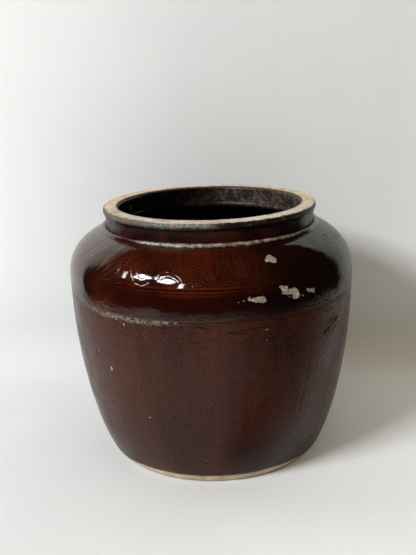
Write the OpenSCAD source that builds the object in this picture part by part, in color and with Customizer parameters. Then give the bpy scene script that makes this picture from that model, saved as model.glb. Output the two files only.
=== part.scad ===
// Glazed stoneware storage jar, built the way a potter builds it: a slab base, a lower
// and an upper wall luted together at the belly, a collar with a luting roll at its foot,
// a thick bare rim, and glaze coats with the chips that wear has left in them.
// Millimetres. +Z is up, and the origin is the middle of the face that the jar stands on.

/* [Outline] */
// Radius of the bare foot where it meets the floor
foot_r = 99.7; // [92:0.1:106]
// Largest radius of the clay wall
belly_r = 129.8; // [122:0.1:145]
// Height of the largest radius
belly_z = 167.5; // [163:0.5:180]
// Height of the shoulder where the collar stands on it
neck_z = 210; // [200:0.5:225]
// Width of the level ledge that the shoulder leaves outside the collar
ledge_w = 2.1; // [0.5:0.1:4]
// Fullness of the curve from the belly down to the foot
lower_fullness = 2.09; // [1.7:0.01:2.5]
// Roundness of the heel just above the foot
heel_roundness = 1.25; // [1.1:0.01:1.5]
// Fullness of the curve from the belly up to the collar
upper_fullness = 2.58; // [2:0.01:3]
// Roundness of the shoulder beside the collar
shoulder_roundness = 1.365; // [1.2:0.005:1.7]

/* [Walls] */
// Thickness of the base slab
slab_t = 11; // [8:0.5:16]
// Thickness of the wall at the belly
wall_t = 8; // [6:0.1:10]
// Thickness of the wall where it stands on the slab
heel_t = 11; // [8:0.1:15]
// Width of the clay coil pressed into the corner inside the base
coil_w = 10; // [5:0.5:16]
// How far the clay under the collar is thicker than the slope of the wall
collar_seat_t = 3; // [2:0.1:6]

/* [Seam between lower and upper wall] */
// Height of the joint between the two walls
seam_z = 158; // [120:0.5:160]
// Width of the luting clay on that joint
seam_w = 2.6; // [1.5:0.1:6]
// How far the luting clay stands out of the wall
seam_out = 1.2; // [0.9:0.1:2]

/* [Collar and rim] */
// Radius of the mouth through collar and rim
mouth_r = 83.5; // [76:0.1:87]
// Thickness of the clay collar at its waist
collar_t = 10.9; // [7:0.1:14]
// How far the collar flares out above and below its waist
collar_flare = 0.8; // [0:0.1:1.5]
// Thickness of the luting roll around the foot of the collar
roll_d = 5.2; // [3:0.1:6]
// How far the middle of the roll stands above the shoulder
roll_lift = 1.6; // [1:0.1:2.4]
// Height of the underside of the rim above the shoulder
rim_low = 14.7; // [11:0.1:20]
// Height of the rim itself
rim_h = 5.8; // [4.5:0.1:9]
// Width of the rim's top, from the mouth outwards
rim_w = 13.7; // [9:0.1:18]
// Rounding of the rim's outer edges
rim_round_out = 2.1; // [1:0.1:2.2]
// Rounding of the rim's inner edge
rim_round_in = 1.4; // [0.5:0.1:2]

/* [Glaze] */
// Thickness of the outer glaze
glaze_t = 0.8; // [0.5:0.05:1.2]
// Thickness of the glaze inside
inner_glaze_t = 0.6; // [0.4:0.05:1]
// Height of the bare clay band at the foot
bare_foot_h = 9.8; // [4:0.1:10.5]

/* [Hidden] */
$fn = 96;

CLAY = "tan";
WALL_CLAY = "rosybrown";
LUTING = "wheat";
GLAZE = "saddlebrown";
INNER = "dimgray";

steps = 22;
arc_steps = 8;
tiny = 0.02;
lower_fullness_in = 2.3;
upper_fullness_in = 2.4;
shoulder_roundness_in = 1.3;

collar_r = mouth_r + collar_t;
shoulder_top_r = collar_r + collar_flare + ledge_w;
rim_r = mouth_r + rim_w;
rim_z = neck_z + rim_low;
jar_h = rim_z + rim_h;
inner_belly_r = belly_r - wall_t;
inner_neck_z = neck_z - collar_seat_t;
roll_r = roll_d / 2;
roll_mid_r = collar_r + collar_flare + roll_r * 0.75;
roll_mid_z = neck_z + roll_lift;
roll_out_r = roll_mid_r + roll_r;

// Chips through the outer glaze: [degrees from the front, height, half width, half height up the wall]
CHIPS = [
    [24.0, 202.0, 5.4, 3.0],
    [10.6, 174.8, 2.6, 0.9],
    [15.8, 174.6, 7.6, 2.5],
    [24.6, 179.4, 3.4, 1.9],
    [28.8, 179.2, 2.8, 2.4],
    [27.6, 173.6, 3.6, 2.2],
    [32.0, 174.0, 2.4, 1.8],
    [37.9, 174.0, 4.4, 2.1],
    [-33.7, 151.2, 1.4, 1.2],
    [-42.7, 107.5, 2.2, 3.0],
    [-50.2, 118.7, 1.3, 1.1],
    [19.1, 149.4, 1.5, 1.0],
    [-26.8, 67.5, 1.2, 1.2],
    [-4.3, 27.1, 1.3, 1.1]
];
// Each cut runs this far along the normal of the wall, half of it outwards
chip_depth = 6;
// A chip's outline has this many corners, and they stray from an ellipse by this share
chip_corners = 11;
chip_stray = 0.22;

// The point of curve c at angle a, which is 0 at the belly and 90 at the end. A curve is
// [fullness, roundness, end radius, belly radius, end height]
function on_curve(c, a) = [
    c[2] + (c[3] - c[2]) * pow(cos(a), 2 / c[1]),
    belly_z + (c[4] - belly_z) * pow(sin(a), 2 / c[0])
];
function at_height(c, z) = on_curve(c, asin(pow((z - belly_z) / (c[4] - belly_z), c[0] / 2)));
function at_radius(c, r) = on_curve(c, acos(pow((r - c[2]) / (c[3] - c[2]), c[1] / 2)));

lower_out = [lower_fullness, heel_roundness, foot_r, belly_r, 0];
upper_out = [upper_fullness, shoulder_roundness, shoulder_top_r, belly_r, neck_z];
heel_in_r = at_height(lower_out, slab_t)[0] - heel_t;
lower_in = [lower_fullness_in, 1, heel_in_r, inner_belly_r, slab_t];
upper_in = [upper_fullness_in, shoulder_roundness_in, mouth_r, inner_belly_r, inner_neck_z];

// All points of a lower and an upper curve, from the bottom to the top
function whole(low, up) = concat(
    [for (i = [steps : -1 : 0]) on_curve(low, 90 * i / steps)],
    [for (i = [1 : steps]) on_curve(up, 90 * i / steps)]
);
function outer_at(z) = z < belly_z ? at_height(lower_out, z) : at_height(upper_out, z);
function inner_at(z) = z < belly_z ? at_height(lower_in, z) : at_height(upper_in, z);

// The stretch of a whole outline from one of its points to another
function span(points, first, last) = concat(
    [first],
    [for (p = points) if (p[1] > first[1] + tiny && p[1] < last[1] - tiny) p],
    [last]
);
function backwards(points) = [for (i = [len(points) - 1 : -1 : 0]) points[i]];

// The same outline moved by d to the right of its direction of travel
function across(a, b) = [b[1] - a[1], a[0] - b[0]] / norm(b - a);
function moved(points, d) = [
    for (i = [0 : len(points) - 1])
        points[i] + d * across(points[max(i - 1, 0)], points[min(i + 1, len(points) - 1)])
];
// A closed skin of thickness t on the right-hand side of an outline
function skin(points, t) = concat(points, backwards(moved(points, t)));

outer_points = whole(lower_out, upper_out);
inner_points = whole(lower_in, upper_in);

// The inside face of the corner coil, a curve that leaves the floor flat and meets the wall
coil_start = [heel_in_r - coil_w, slab_t];
coil_corner = [heel_in_r, slab_t];
coil_end = inner_at(slab_t + coil_w);
function bend(a, b, c, t) = (1 - t) * (1 - t) * a + 2 * t * (1 - t) * b + t * t * c;
coil_face = [for (i = [0 : arc_steps]) bend(coil_start, coil_corner, coil_end, i / arc_steps)];

// The outside face of the collar, narrowest at half its height
collar_face = [
    for (i = [0 : arc_steps])
        [collar_r + collar_flare * pow(cos(180 * i / arc_steps), 2), neck_z + rim_low * i / arc_steps]
];

module turned() {
    rotate_extrude($fn = $fn)
        children();
}

module chip_cuts() {
    for (c = CHIPS) {
        spot = outer_at(c[1]);
        slope = across(outer_at(c[1] - 1), outer_at(c[1] + 1));
        rotate([0, 0, c[0]])
            translate([0, -spot[0], spot[1]])
                rotate([atan2(slope[0], slope[1]), 0, 0])
                    linear_extrude(chip_depth, center = true)
                        polygon([
                            for (i = [0 : chip_corners - 1])
                                let (turn = 360 * i / chip_corners, stray = 1 + chip_stray * sin(c[1] * 7 + turn * 4))
                                [c[2] * stray * cos(turn), c[3] * stray * sin(turn)]
                        ]);
    }
}

module base_slab() {
    color(CLAY)
        turned()
            polygon(concat([[0, 0]], span(outer_points, [foot_r, 0], outer_at(slab_t)), [[0, slab_t]]));
}

module base_coil() {
    color(LUTING)
        turned()
            polygon(concat(coil_face, backwards(span(inner_points, coil_corner, coil_end))));
}

module lower_wall() {
    color(WALL_CLAY)
        turned()
            polygon(concat(
                span(outer_points, outer_at(slab_t), outer_at(seam_z)),
                backwards(span(inner_points, coil_corner, inner_at(seam_z)))
            ));
}

module shoulder_wall() {
    color(WALL_CLAY)
        turned()
            polygon(concat(
                span(outer_points, outer_at(seam_z), [shoulder_top_r, neck_z]),
                [[mouth_r, neck_z]],
                backwards(span(inner_points, inner_at(seam_z), [mouth_r, inner_neck_z]))
            ));
}

// Half-round bead of luting clay, lying on the joint between the walls
module seam_roll() {
    low = outer_at(seam_z - seam_w / 2);
    high = outer_at(seam_z + seam_w / 2);
    color(LUTING)
        turned()
            polygon(concat(
                [for (i = [0 : arc_steps]) [
                    outer_at(seam_z)[0] + seam_out * pow(sin(180 * i / arc_steps), 0.6),
                    seam_z - seam_w / 2 * cos(180 * i / arc_steps)
                ]],
                [high, outer_at(seam_z), low]
            ));
}

module collar() {
    color(WALL_CLAY)
        turned()
            polygon(concat([[mouth_r, neck_z]], collar_face, [[mouth_r, rim_z]]));
}

module collar_roll() {
    color(LUTING)
        turned()
            difference() {
                translate([roll_mid_r, roll_mid_z])
                    circle(r = roll_r, $fn = 48);
                polygon(concat([[0, neck_z]], collar_face, [[0, rim_z]]));
                polygon(concat([[0, 0]], outer_points, [[0, neck_z]]));
            }
}

module rim() {
    out = rim_round_out;
    in = rim_round_in;
    color(CLAY)
        turned()
            union() {
                translate([rim_r - out, rim_z + out])
                    circle(r = out, $fn = 48);
                translate([rim_r - out, jar_h - out])
                    circle(r = out, $fn = 48);
                translate([mouth_r + in, jar_h - in])
                    circle(r = in, $fn = 48);
                polygon([
                    [mouth_r, rim_z], [rim_r - out, rim_z], [rim_r, rim_z + out], [rim_r, jar_h - out],
                    [rim_r - out, jar_h], [mouth_r + in, jar_h], [mouth_r, jar_h - in]
                ]);
            }
}

module lower_glaze() {
    color(GLAZE)
        difference() {
            turned()
                polygon(skin(span(outer_points, outer_at(bare_foot_h), outer_at(seam_z - seam_w / 2)), glaze_t));
            chip_cuts();
        }
}

module shoulder_glaze() {
    color(GLAZE)
        difference() {
            turned()
                polygon(skin(
                    span(outer_points, outer_at(seam_z + seam_w / 2), at_radius(upper_out, roll_out_r)),
                    glaze_t
                ));
            chip_cuts();
        }
}

// The collar's coat starts above the roll and ends under the rim
module collar_glaze() {
    start_z = roll_mid_z + roll_r * 0.75;
    share = (start_z - neck_z) / rim_low;
    start = [collar_r + collar_flare * pow(cos(180 * share), 2), start_z];
    color(GLAZE)
        turned()
            polygon(skin(span(collar_face, start, collar_face[arc_steps]), glaze_t));
}

// One coat over the floor, the corner coil, the walls and the mouth, up to the rim's rounded edge
module inner_glaze() {
    face = concat(
        [[0, slab_t]],
        coil_face,
        [for (p = inner_points) if (p[1] > coil_end[1] + tiny) p],
        [[mouth_r, jar_h - rim_round_in]]
    );
    color(INNER)
        turned()
            polygon(skin(face, -inner_glaze_t));
}

base_slab();
base_coil();
lower_wall();
seam_roll();
shoulder_wall();
collar();
collar_roll();
rim();
lower_glaze();
shoulder_glaze();
collar_glaze();
inner_glaze();
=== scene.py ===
import math

import bpy
import numpy as np
from mathutils import Matrix, Vector
from mathutils.kdtree import KDTree


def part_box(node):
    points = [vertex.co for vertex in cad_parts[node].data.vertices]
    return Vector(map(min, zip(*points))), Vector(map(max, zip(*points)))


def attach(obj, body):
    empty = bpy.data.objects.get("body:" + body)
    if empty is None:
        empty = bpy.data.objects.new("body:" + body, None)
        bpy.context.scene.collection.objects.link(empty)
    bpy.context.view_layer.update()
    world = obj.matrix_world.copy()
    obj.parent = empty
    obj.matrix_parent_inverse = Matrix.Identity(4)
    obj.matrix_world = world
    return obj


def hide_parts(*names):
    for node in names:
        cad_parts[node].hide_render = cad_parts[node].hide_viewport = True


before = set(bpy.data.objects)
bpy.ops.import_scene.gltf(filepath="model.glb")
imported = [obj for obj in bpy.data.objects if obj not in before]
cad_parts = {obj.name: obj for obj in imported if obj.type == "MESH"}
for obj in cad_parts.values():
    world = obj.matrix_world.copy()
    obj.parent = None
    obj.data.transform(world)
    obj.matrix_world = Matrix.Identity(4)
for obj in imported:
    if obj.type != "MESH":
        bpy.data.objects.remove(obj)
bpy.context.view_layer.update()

MM = 0.001
TURN = 2 * math.pi

# ---------------- sizes, in metres

SLAB_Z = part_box("base_slab")[1].z
SEAM_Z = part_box("lower_wall")[1].z
NECK_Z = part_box("shoulder_wall")[1].z
RIM_Z, JAR_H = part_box("rim")[0].z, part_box("rim")[1].z
RIM_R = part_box("rim")[1].x

FOOT_R = 99.7 * MM
BELLY_R = 129.8 * MM
BELLY_Z = 167.5 * MM
MOUTH_R = 83.5 * MM
COLLAR_R = 94.4 * MM
COLLAR_FLARE = 0.8 * MM
LEDGE_W = 2.1 * MM
SHOULDER_TOP_R = COLLAR_R + COLLAR_FLARE + LEDGE_W
LOWER_FULLNESS, HEEL_ROUNDNESS = 2.09, 1.25
UPPER_FULLNESS, SHOULDER_ROUNDNESS = 2.58, 1.365

WALL_T = 8 * MM
HEEL_T = 11 * MM
COIL_W = 10 * MM
COLLAR_SEAT_T = 3 * MM
LOWER_FULLNESS_IN, UPPER_FULLNESS_IN, SHOULDER_ROUNDNESS_IN = 2.3, 2.4, 1.3

ROLL_R = 2.6 * MM
ROLL_MID_R, ROLL_MID_Z = COLLAR_R + COLLAR_FLARE + 0.75 * ROLL_R, NECK_Z + 1.6 * MM
RIM_ROUND_OUT, RIM_ROUND_IN = 2.1 * MM, 1.4 * MM

GLAZE_T, COLLAR_GLAZE_T, INNER_GLAZE_T = 0.8 * MM, 0.6 * MM, 0.6 * MM
LOWEST_GLAZE_Z = 2.6 * MM
SEAM_W, SEAM_OUT = 1.5 * MM, 1.15 * MM

# ---------------- outlines


def swell(fullness, roundness, end_r, belly_r, end_z, count=900):
    """Points (r, z) of a curve from the belly to one end of the pot."""
    a = np.linspace(0, math.pi / 2, count)
    r = end_r + (belly_r - end_r) * np.abs(np.cos(a)) ** (2 / roundness)
    z = BELLY_Z + (end_z - BELLY_Z) * np.sin(a) ** (2 / fullness)
    return np.stack([r, z], 1)


class Outline:
    """A line of (r, z) points that is read by its length, with its normal on the right-hand side."""

    def __init__(self, points):
        self.points = np.asarray(points, float)
        step = np.linalg.norm(np.diff(self.points, axis=0), axis=1)
        self.s = np.concatenate([[0], np.cumsum(step)])
        self.length = self.s[-1]

    def at(self, s):
        return np.stack([np.interp(s, self.s, self.points[:, k]) for k in (0, 1)], -1)

    def normal(self, s, reach=0.4 * MM):
        s = np.asarray(s, float)
        t = self.at(np.minimum(s + reach, self.length)) - self.at(np.maximum(s - reach, 0))
        t /= np.linalg.norm(t, axis=-1, keepdims=True)
        return np.stack([t[..., 1], -t[..., 0]], -1)

    def s_of_z(self, z):
        return float(np.interp(z, self.points[:, 1], self.s))

    def r_at(self, s):
        return float(self.at(s)[0])


def wall_outline(low, up):
    """One outline from two curves that both start at the belly."""
    return Outline(np.concatenate([low[::-1], up[1:]]))


LOWER_OUT = swell(LOWER_FULLNESS, HEEL_ROUNDNESS, FOOT_R, BELLY_R, 0)
UPPER_OUT = swell(UPPER_FULLNESS, SHOULDER_ROUNDNESS, SHOULDER_TOP_R, BELLY_R, NECK_Z)
WALL = wall_outline(LOWER_OUT, UPPER_OUT)

HOLLOW_R, HOLLOW_TOP_Z = BELLY_R - WALL_T, NECK_Z - COLLAR_SEAT_T
HEEL_IN_R = WALL.r_at(WALL.s_of_z(SLAB_Z)) - HEEL_T
HOLLOW = wall_outline(
    swell(LOWER_FULLNESS_IN, 1, HEEL_IN_R, HOLLOW_R, SLAB_Z),
    swell(UPPER_FULLNESS_IN, SHOULDER_ROUNDNESS_IN, MOUTH_R, HOLLOW_R, HOLLOW_TOP_Z),
)

S_SLAB, S_SEAM = WALL.s_of_z(SLAB_Z), WALL.s_of_z(SEAM_Z)
ROLL_FOOT_Z = float(np.interp(-(ROLL_MID_R + ROLL_R), -UPPER_OUT[:, 0], UPPER_OUT[:, 1]))
S_ROLL = WALL.s_of_z(ROLL_FOOT_Z)
ROUND_LENGTH, UP_LENGTH = TURN * BELLY_R, WALL.length

# ---------------- the photograph's viewpoint

EYE_DISTANCE, EYE_ELEVATION, AIM_DROP, AIM_TURN, AIM_ROLL = 0.6873, 19.43, 2.96, -0.28, 1.82
AIM_Z = 0.120
FOCAL_PX = 711.7
PHOTO_PX = (416, 555)
NEAREST_SIGHT, FARTHEST_SIGHT, SIGHT_STEPS = 0.4, 0.8, 8000


def viewpoint():
    """Fitted to the jar's rings: the eye's place, and directions to the right, up and ahead."""
    e = math.radians(EYE_ELEVATION)
    place = Vector((0, -EYE_DISTANCE * math.cos(e), AIM_Z + EYE_DISTANCE * math.sin(e)))
    pitch, yaw, lean = (math.radians(v) for v in (EYE_ELEVATION - AIM_DROP, AIM_TURN, AIM_ROLL))
    ahead = Vector((math.sin(yaw) * math.cos(pitch), math.cos(yaw) * math.cos(pitch), -math.sin(pitch)))
    right = Vector((math.cos(yaw), -math.sin(yaw), 0))
    up = right.cross(ahead)
    level_right, level_up = right, up
    right = level_right * math.cos(lean) - level_up * math.sin(lean)
    up = level_right * math.sin(lean) + level_up * math.cos(lean)
    return place, right, up, ahead


def sight_on_wall(px, py):
    """Where the sight line through a pixel meets the outer glaze, and the line's direction."""
    place, right, up, ahead = (np.array(v) for v in viewpoint())
    sight = ahead + right * (px - PHOTO_PX[0] / 2) / FOCAL_PX - up * (py - PHOTO_PX[1] / 2) / FOCAL_PX
    sight /= np.linalg.norm(sight)
    path = place + sight * np.linspace(NEAREST_SIGHT, FARTHEST_SIGHT, SIGHT_STEPS)[:, None]
    wall_r = np.interp(path[:, 2], WALL.points[:, 1], WALL.points[:, 0]) + GLAZE_T
    return path[np.argmax(np.hypot(path[:, 0], path[:, 1]) < wall_r)], sight


def on_wall(px, py):
    """The same place as degrees from the front and height in millimetres."""
    (x, y, z), sight = sight_on_wall(px, py)
    return math.degrees(math.atan2(x, -y)), z / MM


# ---------------- noise on the turned surface


def lattice_noise(u, v, across, up, seed):
    """Smooth noise from -1 to 1 that joins up round the pot; u and v are shares of turn and height."""
    grid = np.random.default_rng(seed).uniform(-1, 1, (up + 2, across))
    x, y = (u % 1) * across, np.clip(v, 0, 1) * up
    i, j = np.floor(x).astype(int), np.floor(y).astype(int)
    fx, fy = x - i, y - j
    fx, fy = fx * fx * (3 - 2 * fx), fy * fy * (3 - 2 * fy)
    i0, i1 = i % across, (i + 1) % across
    low = grid[j, i0] * (1 - fx) + grid[j, i1] * fx
    high = grid[j + 1, i0] * (1 - fx) + grid[j + 1, i1] * fx
    return low * (1 - fy) + high * fy


def rough(th, s, size, seed, octaves=3, stretch=1.0):
    """Layered noise with features of about that size; stretch above 1 draws them out round the pot."""
    total, weight = 0, 0
    for k in range(octaves):
        across = max(2, round(ROUND_LENGTH / (size * stretch / 2 ** k)))
        up = max(2, round(UP_LENGTH / (size / 2 ** k)))
        total = total + lattice_noise(th / TURN, s / UP_LENGTH, across, up, seed + k) * 0.55 ** k
        weight += 0.55 ** k
    return total / weight


def smooth(low, high, x):
    t = np.clip((x - low) / (high - low), 0, 1)
    return t * t * (3 - 2 * t)


def around(th, degrees):
    """Signed angle in radians from a place that is given in degrees to the right of the front."""
    return (th - math.radians(degrees) + math.pi) % TURN - math.pi


# ---------------- chips in the glaze

# The outlines of the chips on the shoulder, as corners in the photograph's pixels
CHIPS_PX = [
    [(264.9, 260), (266.5, 257.1), (269.3, 254.9), (271.9, 256.2), (273.5, 257.1), (277, 259.3),
     (276, 262.9), (272.8, 263.2), (269.6, 261.6), (266.5, 262.7)],
    [(247.3, 299.2), (249.9, 296.7), (251.1, 299.2), (257.5, 297.3), (263.3, 296.3), (265.2, 297.9),
     (266.5, 301.8), (263.3, 303.2), (258.8, 302.4), (255.6, 302.7), (253.1, 301.8), (248.6, 300.8)],
    [(241.6, 301.4), (244.1, 300.5), (246.4, 301.4), (244.1, 302.1)],
    [(278.9, 286.8), (281.1, 285.8), (287.8, 286.5), (288.1, 289), (291.3, 289.6), (293.9, 287.7),
     (297.1, 288.4), (299.3, 290.6), (299, 292.8), (300.6, 295.4), (299, 297.6), (295.8, 299.2),
     (293.2, 298.6), (292.6, 296), (293.2, 294.4), (290.1, 294.7), (285.6, 294.4), (281.8, 294.4),
     (282.7, 291.6), (281.1, 289)],
    [(306.6, 289), (309.2, 288.4), (312.4, 289), (314.9, 287.7), (315.2, 291.6), (314.3, 293.2),
     (312.4, 292.2), (309.2, 291.9), (307.3, 290.9)],
]
# Two more on the side that the photograph doesn't show, as (degrees from the front, height) corners
CHIPS_BEHIND = [
    [(151, 186), (152.5, 189), (154.5, 188), (154, 186), (155, 184.5), (153, 185)],
    [(-119.5, 139), (-118.5, 141.5), (-117, 141), (-117.5, 138)],
]
# Small chips and pits: (degrees from the front, height, half width, half height)
CHIP_DOTS = [
    (28, 173, 0.9, 0.8), (34, 171.5, 0.9, 0.7), (-33.5, 151.5, 1.1, 1), (-43, 107, 1.9, 2.5),
    (-50, 119, 1, 0.9), (19, 149, 1.2, 0.8), (-27, 68, 0.9, 0.8), (-4.5, 27.5, 0.9, 0.9),
    (19, 140.5, 0.7, 0.5), (48.5, 133, 0.8, 0.6), (9, 174, 0.6, 0.4), (-38.5, 156.5, 1.8, 0.9),
    (-37, 155, 0.9, 0.7), (-27.5, 155.5, 1.4, 0.7), (-24.5, 156, 1, 0.6), (64, 205, 1.2, 0.9),
    (96, 120, 1.3, 1.1), (75, 200.5, 0.9, 0.7), (-88, 84, 1.2, 1.4), (170, 58, 1.1, 1),
    (-160, 96, 1.3, 1),
]
CHIP_STRAY = 0.45 * MM
CHIP_REACH = 5 * MM
OVAL_STRAY = [1.0, 0.86, 1.1, 0.92, 1.08, 0.84, 1.05]


def oval(az, z, half_w, half_h):
    """Corners of a small rough oval."""
    wide = math.degrees(half_w / (WALL.r_at(WALL.s_of_z(z * MM)) / MM))
    turns = [k * TURN / len(OVAL_STRAY) for k in range(len(OVAL_STRAY))]
    return [(az + wide * q * math.cos(a), z + half_h * q * math.sin(a)) for a, q in zip(turns, OVAL_STRAY)]


def unrolled(corners):
    """Middle angle, middle length and radius of a chip, and its corners around that middle, in metres."""
    az = sum(c[0] for c in corners) / len(corners)
    s = [WALL.s_of_z(c[1] * MM) for c in corners]
    s0 = sum(s) / len(s)
    r0 = WALL.r_at(s0)
    return az, s0, r0, np.array([(math.radians(c[0] - az) * r0, q - s0) for c, q in zip(corners, s)])


CHIP_OUTLINES = [[on_wall(px, py) for px, py in corners] for corners in CHIPS_PX]
CHIPS = [unrolled(c) for c in CHIP_OUTLINES + CHIPS_BEHIND + [oval(*d) for d in CHIP_DOTS]]


def polygon_distance(x, y, corners):
    """Distance to the polygon's edge, negative inside."""
    best, inside = np.full(x.shape, 1.0), np.zeros(x.shape, bool)
    for (ax, ay), (bx, by) in zip(corners, np.roll(corners, -1, 0)):
        dx, dy = bx - ax, by - ay
        t = np.clip(((x - ax) * dx + (y - ay) * dy) / (dx * dx + dy * dy), 0, 1)
        best = np.minimum(best, np.hypot(x - ax - t * dx, y - ay - t * dy))
        crosses = (ay > y) != (by > y)
        inside ^= crosses & (x < ax + (y - ay) * dx / np.where(dy == 0, 1e-12, dy))
    return np.where(inside, -best, best)


def chip_distance(th, s):
    """Distance to the edge of the nearest chip, negative inside, and CHIP_REACH far away."""
    th, s = np.broadcast_arrays(th, s)
    best = np.full(th.shape, CHIP_REACH)
    for az, s0, r0, corners in CHIPS:
        x, y = around(th, az) * r0, s - s0
        size = np.abs(corners).max(0) + CHIP_REACH
        near = (np.abs(x) < size[0]) & (np.abs(y) < size[1])
        best[near] = np.minimum(best[near], polygon_distance(x[near], y[near], corners))
    stray = rough(th, s, 1.7 * MM, 71, octaves=2) * CHIP_STRAY
    return best + stray * smooth(3 * MM, 0, best)


# ---------------- the drawn ornament of the shoulder

BAND_LOW_Z, BAND_HIGH_Z = 184 * MM, 206.5 * MM
BAND_R = 123 * MM
REPEATS = 3
STROKE_STEP = 0.3 * MM
STROKE_ROUNDING = 11
STROKE_SWAY = 0.7 * MM
STROKE_FAR = 4 * MM

# One repeat of the drawing, as lines through (degrees, height): combed bows, an arch with a wave,
# a leaf, a loop, reeds and a hook
MOTIF = [
    [(-53, 192), (-50, 188), (-45.5, 185.5), (-40.5, 185), (-36.5, 185.5), (-34, 188.5)],
    [(-51.5, 194), (-48.5, 191), (-44.5, 188), (-40.5, 187), (-37, 188), (-35.5, 190.5)],
    [(-49.5, 195.5), (-47, 193), (-43.5, 190.5), (-40.5, 189), (-38, 190), (-37, 192.5)],
    [(-47.5, 197.5), (-45, 195), (-42.5, 193), (-40, 191.5), (-37.5, 193), (-36.5, 195)],
    [(-45, 198.5), (-43, 196.5), (-40.5, 195), (-38, 195), (-36, 197)],
    [(-42, 199.5), (-39.5, 197.5), (-37, 198), (-34.5, 199.5)],
    [(-32, 198), (-30.5, 192), (-28.5, 187.5), (-25.5, 186), (-23, 188.5)],
    [(-30, 199.5), (-28.5, 194), (-26.5, 190), (-24.5, 190.5)],
    [(-20.5, 190.5), (-19.5, 194), (-17.5, 196), (-14.5, 195.5), (-12, 193), (-10.5, 190)],
    [(-19, 189.5), (-18, 192.5), (-15.5, 193.5), (-13.5, 192), (-12, 189.5)],
    [(-14.5, 199), (-12, 197), (-10.5, 195), (-9, 194), (-7.5, 196), (-5.5, 197.5), (-3, 198)],
    [(-12, 200), (-10.5, 198), (-9, 197), (-7, 199), (-5, 200)],
    [(-10, 189), (-8, 191), (-5, 190.5), (-2, 188), (-4, 186), (-6.5, 186.5), (-7, 188), (-5.5, 189)],
    [(-2, 199), (0, 196.5), (1, 192.5), (-0.5, 189.5)],
    [(-3, 196), (-1.5, 194), (-1, 191.5)],
    [(7, 190.5), (5, 191.5), (4, 190), (3.5, 187.5), (5, 186), (6.5, 186.5), (7.5, 188.5), (6, 189)],
    [(8.5, 188), (10, 191), (13.5, 191)],
    [(3, 202.5), (3, 199), (2.5, 195.5)],
    [(5, 203.5), (5.5, 200.5), (5, 196.5), (4.5, 193.5)],
    [(7, 204.5), (7, 200), (7.5, 196.5), (6.5, 193)],
    [(9, 204), (9, 200), (9, 196.5), (9.5, 193.5)],
    [(11, 203), (11, 199), (11.5, 196), (13, 193.5), (15, 195)],
    [(16.5, 194.5), (17, 197.5), (19, 199.5), (21.5, 198.5), (22.5, 196), (20.5, 195), (19, 196)],
    [(15.5, 191.5), (18, 193), (20.5, 191), (23.5, 193), (26, 191.5)],
    [(15.5, 187.5), (18.5, 189), (22, 187), (25, 189), (28, 187.5)],
    [(31.5, 198), (31, 193), (29.5, 188)],
    [(34, 198.5), (34, 193), (32, 187.5)],
    [(36, 198), (37.5, 192.5), (35, 187)],
    [(41, 189), (43, 194), (46, 196), (48.5, 193.5), (47.5, 190), (45.5, 191)],
    [(39.5, 186.5), (44, 186), (49, 187), (53, 189.5), (55, 194)],
    [(52.5, 199), (56.5, 196.5), (60.5, 198.5), (64.5, 196)],
    [(58, 192.5), (61, 190), (64.5, 192.5)],
]


def stroke_points(corners, shift):
    """Points close together along one rounded line, unrolled round the pot, in metres."""
    p = np.array([(math.radians(az + shift) * BAND_R, WALL.s_of_z(z * MM)) for az, z in corners])
    t = np.concatenate([[0], np.cumsum(np.linalg.norm(np.diff(p, axis=0), axis=1))])
    u = np.arange(0, t[-1], STROKE_STEP)
    q = np.stack([np.interp(u, t, p[:, k]) for k in (0, 1)], 1)
    ends = STROKE_ROUNDING // 2
    padded = np.concatenate([np.repeat(q[:1], ends, 0), q, np.repeat(q[-1:], ends, 0)])
    kernel = np.ones(STROKE_ROUNDING) / STROKE_ROUNDING
    return np.stack([np.convolve(padded[:, k], kernel, "valid") for k in (0, 1)], 1)


def stroke_tree():
    """A search tree over points along every stroke, with a margin past both ends of the turn."""
    shifts = [360 / REPEATS * k for k in range(REPEATS)]
    points = np.concatenate([stroke_points(line, shift) for shift in shifts for line in MOTIF])
    full, margin = TURN * BAND_R, 3 * STROKE_FAR
    points[:, 0] = points[:, 0] % full
    left = points[points[:, 0] < margin] + [full, 0]
    right = points[points[:, 0] > full - margin] - [full, 0]
    points = np.concatenate([points, left, right])
    tree = KDTree(len(points))
    for i, (x, y) in enumerate(points):
        tree.insert((x, y, 0), i)
    tree.balance()
    return tree


TREE = stroke_tree()


def stroke_distance(th, s):
    """Distance to the nearest drawn line, or STROKE_FAR outside the band."""
    th, s = np.broadcast_arrays(th, s)
    out = np.full(th.shape, STROKE_FAR)
    inside = (s > WALL.s_of_z(BAND_LOW_Z) - STROKE_FAR) & (s < WALL.s_of_z(BAND_HIGH_Z))
    x = ((th % TURN) * BAND_R + rough(th, s, 7 * MM, 41) * STROKE_SWAY)[inside]
    y = (s + rough(th, s, 7 * MM, 44) * STROKE_SWAY)[inside]
    found = [TREE.find((a, b, 0))[2] for a, b in zip(x, y)]
    out[inside] = np.minimum(found, STROKE_FAR)
    return out


def groove(q, half_width):
    """A groove with slightly raised banks, 1 deep in its middle."""
    k = (q / half_width) ** 2
    return (1 - k) * np.exp(-k / 2)


# ---------------- what shapes the outer wall

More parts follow.
